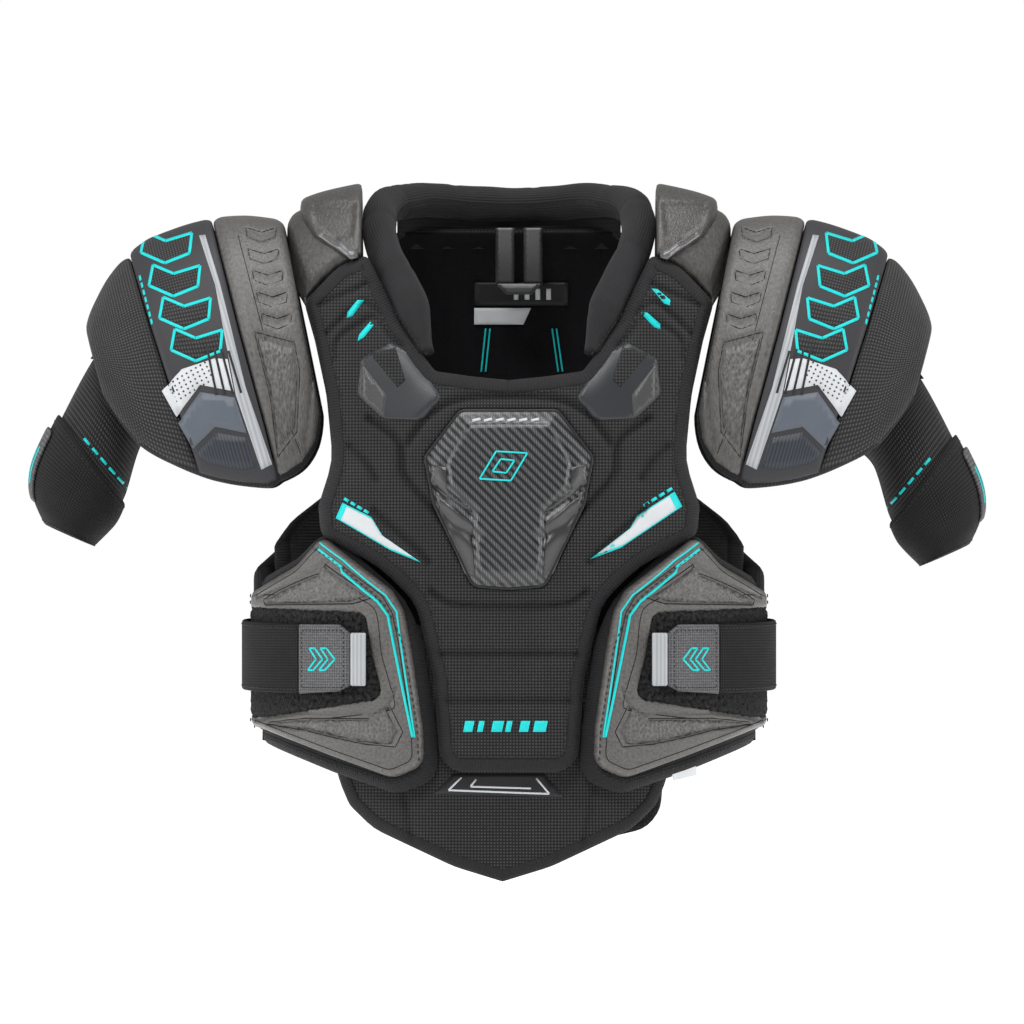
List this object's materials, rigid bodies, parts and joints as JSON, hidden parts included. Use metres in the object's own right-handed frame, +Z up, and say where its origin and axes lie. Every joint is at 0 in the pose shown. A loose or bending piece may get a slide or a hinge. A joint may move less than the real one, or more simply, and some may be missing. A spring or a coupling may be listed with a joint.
{
  "type": "hockey shoulder pads",
  "caption": "Padded black and grey shoulder, chest and back protector with shoulder caps, bicep guards, rib guards, collar and torso straps.",
  "frame": {"origin": "middle of the neck opening at the height where the yoke rests on the shoulders", "axes": "+X to the right as seen from the front, -Y the wearer's front, +Z up"},
  "size_m": [0.5272, 0.223, 0.3836],
  "materials": {
    "black_twill": "matte woven nylon over foam",
    "ribbed_binding": "matte ribbed knit",
    "grey_moulded_foam": "satin moulded foam skin",
    "satin_charcoal": "satin printed film over foam",
    "lining_mesh": "matte brushed mesh",
    "collar_jersey": "matte ribbed jersey",
    "carbon_plate": "satin printed twill pattern",
    "smoked_film": "satin translucent film",
    "elastic_webbing": "matte elastic",
    "hook_and_loop": "matte napped loop pile",
    "woven_tab": "matte grey and black weave",
    "satin_ribbon": "satin ribbon",
    "printed_label": "matte printed label"
  },
  "bodies": {
    "back": {"back_liner": "lining_mesh", "back_panel": "black_twill", "spine_plate": "carbon_plate", "lumbar_pad": "black_twill", "size_label": "printed_label", "collar_back_roll": "collar_jersey", "side_wing_left": "black_twill", "side_wing_right": "black_twill", "scapula_pad_left": "black_twill", "scapula_pad_right": "black_twill", "strap_anchor_left": "elastic_webbing", "strap_anchor_right": "elastic_webbing", "yoke_liner_left": "lining_mesh", "yoke_liner_right": "lining_mesh", "shoulder_bridge_left": "grey_moulded_foam", "shoulder_bridge_right": "grey_moulded_foam", "bridge_block_left": "grey_moulded_foam", "bridge_block_right": "grey_moulded_foam", "collar_side_roll_left": "collar_jersey", "collar_side_roll_right": "collar_jersey"},
    "chest": {"chest_liner": "lining_mesh", "chest_core_foam": "lining_mesh", "chest_panel": "black_twill", "chest_binding": "ribbed_binding", "sternum_plate": "carbon_plate", "sternum_foam": "lining_mesh", "collarbone_guard_left": "smoked_film", "collarbone_guard_right": "smoked_film", "collar_front_roll_left": "collar_jersey", "collar_front_roll_right": "collar_jersey"},
    "extension": {"extension_pad": "black_twill"},
    "hanger": {"hanger_loop": "satin_ribbon"},
    "rib_guard_left": {"rib_pad_left": "ribbed_binding", "rib_shell_left": "grey_moulded_foam", "rib_loop_patch_left": "hook_and_loop"},
    "torso_strap_left": {"torso_strap_left": "elastic_webbing"},
    "strap_tab_left": {"strap_tab_left": "woven_tab", "strap_hook_patch_left": "hook_and_loop"},
    "shoulder_cap_left": {"cap_liner_left": "lining_mesh", "cap_moulded_panel_left": "grey_moulded_foam", "cap_smooth_panel_left": "satin_charcoal", "cap_woven_panel_left": "black_twill"},
    "bicep_guard_left": {"bicep_pad_left": "black_twill", "bicep_strap_left": "elastic_webbing", "bicep_link_left": "elastic_webbing"},
    "bicep_tab_left": {"bicep_tab_left": "woven_tab"},
    "rib_guard_right": {"rib_pad_right": "ribbed_binding", "rib_shell_right": "grey_moulded_foam", "rib_loop_patch_right": "hook_and_loop"},
    "torso_strap_right": {"torso_strap_right": "elastic_webbing"},
    "strap_tab_right": {"strap_tab_right": "woven_tab", "strap_hook_patch_right": "hook_and_loop"},
    "shoulder_cap_right": {"cap_liner_right": "lining_mesh", "cap_moulded_panel_right": "grey_moulded_foam", "cap_smooth_panel_right": "satin_charcoal", "cap_woven_panel_right": "black_twill"},
    "bicep_guard_right": {"bicep_pad_right": "black_twill", "bicep_strap_right": "elastic_webbing", "bicep_link_right": "elastic_webbing"},
    "bicep_tab_right": {"bicep_tab_right": "woven_tab"}
  },
  "joints": [
    {"name": "chest_fold", "type": "hinge", "parent": "back", "child": "chest", "pos_m": [0, -0.062, 0.002], "axis": [-1, 0, 0], "range_deg": [0, 24]},
    {"name": "extension_slide", "type": "slide", "parent": "chest", "child": "extension", "axis": [0, 0, -1], "range_m": [0, 0.03]},
    {"name": "hanger_swing", "type": "hinge", "parent": "back", "child": "hanger", "pos_m": [0, 0.047, 0.0135], "axis": [-1, 0, 0], "range_deg": [0, 80]},
    {"name": "rib_flex_left", "type": "hinge", "parent": "chest", "child": "rib_guard_left", "pos_m": [-0.042, -0.096, -0.22], "axis": [0, 0, 1], "range_deg": [0, 9.6]},
    {"name": "torso_strap_swing_left", "type": "hinge", "parent": "back", "child": "torso_strap_left", "pos_m": [-0.1395, 0.05, -0.222], "axis": [0, 0, -1], "range_deg": [0, 96]},
    {"name": "strap_tab_peel_left", "type": "hinge", "parent": "torso_strap_left", "child": "strap_tab_left", "pos_m": [-0.1137, -0.0862, -0.222], "axis": [0, 0, -1], "range_deg": [0, 60]},
    {"name": "cap_lift_left", "type": "hinge", "parent": "back", "child": "shoulder_cap_left", "pos_m": [-0.124, 0, 0.021], "axis": [0, 1, 0], "range_deg": [0, 50]},
    {"name": "bicep_swing_left", "type": "hinge", "parent": "shoulder_cap_left", "child": "bicep_guard_left", "pos_m": [-0.2035, 0, -0.0145], "axis": [0, -1, 0], "range_deg": [0, 28]},
    {"name": "bicep_tab_peel_left", "type": "hinge", "parent": "bicep_guard_left", "child": "bicep_tab_left", "pos_m": [-0.2537, 0.024, -0.1032], "axis": [0.419, 0, -0.908], "range_deg": [0, 60]},
    {"name": "rib_flex_right", "type": "hinge", "parent": "chest", "child": "rib_guard_right", "pos_m": [0.042, -0.096, -0.22], "axis": [0, 0, -1], "range_deg": [0, 9.6]},
    {"name": "torso_strap_swing_right", "type": "hinge", "parent": "back", "child": "torso_strap_right", "pos_m": [0.1395, 0.05, -0.222], "axis": [0, 0, 1], "range_deg": [0, 96]},
    {"name": "strap_tab_peel_right", "type": "hinge", "parent": "torso_strap_right", "child": "strap_tab_right", "pos_m": [0.1137, -0.0862, -0.222], "axis": [0, 0, 1], "range_deg": [0, 60]},
    {"name": "cap_lift_right", "type": "hinge", "parent": "back", "child": "shoulder_cap_right", "pos_m": [0.124, 0, 0.021], "axis": [0, -1, 0], "range_deg": [0, 50]},
    {"name": "bicep_swing_right", "type": "hinge", "parent": "shoulder_cap_right", "child": "bicep_guard_right", "pos_m": [0.2035, 0, -0.0145], "axis": [0, 1, 0], "range_deg": [0, 28]},
    {"name": "bicep_tab_peel_right", "type": "hinge", "parent": "bicep_guard_right", "child": "bicep_tab_right", "pos_m": [0.2517, 0.024, -0.1142], "axis": [-0.419, 0, 0.908], "range_deg": [0, 60]}
  ],
  "couplings": [
    {"joint": "torso_strap_swing_left", "follows": "chest_fold", "ratio": 4},
    {"joint": "rib_flex_left", "follows": "chest_fold", "ratio": 0.4},
    {"joint": "torso_strap_swing_right", "follows": "chest_fold", "ratio": 4},
    {"joint": "rib_flex_right", "follows": "chest_fold", "ratio": 0.4}
  ]
}
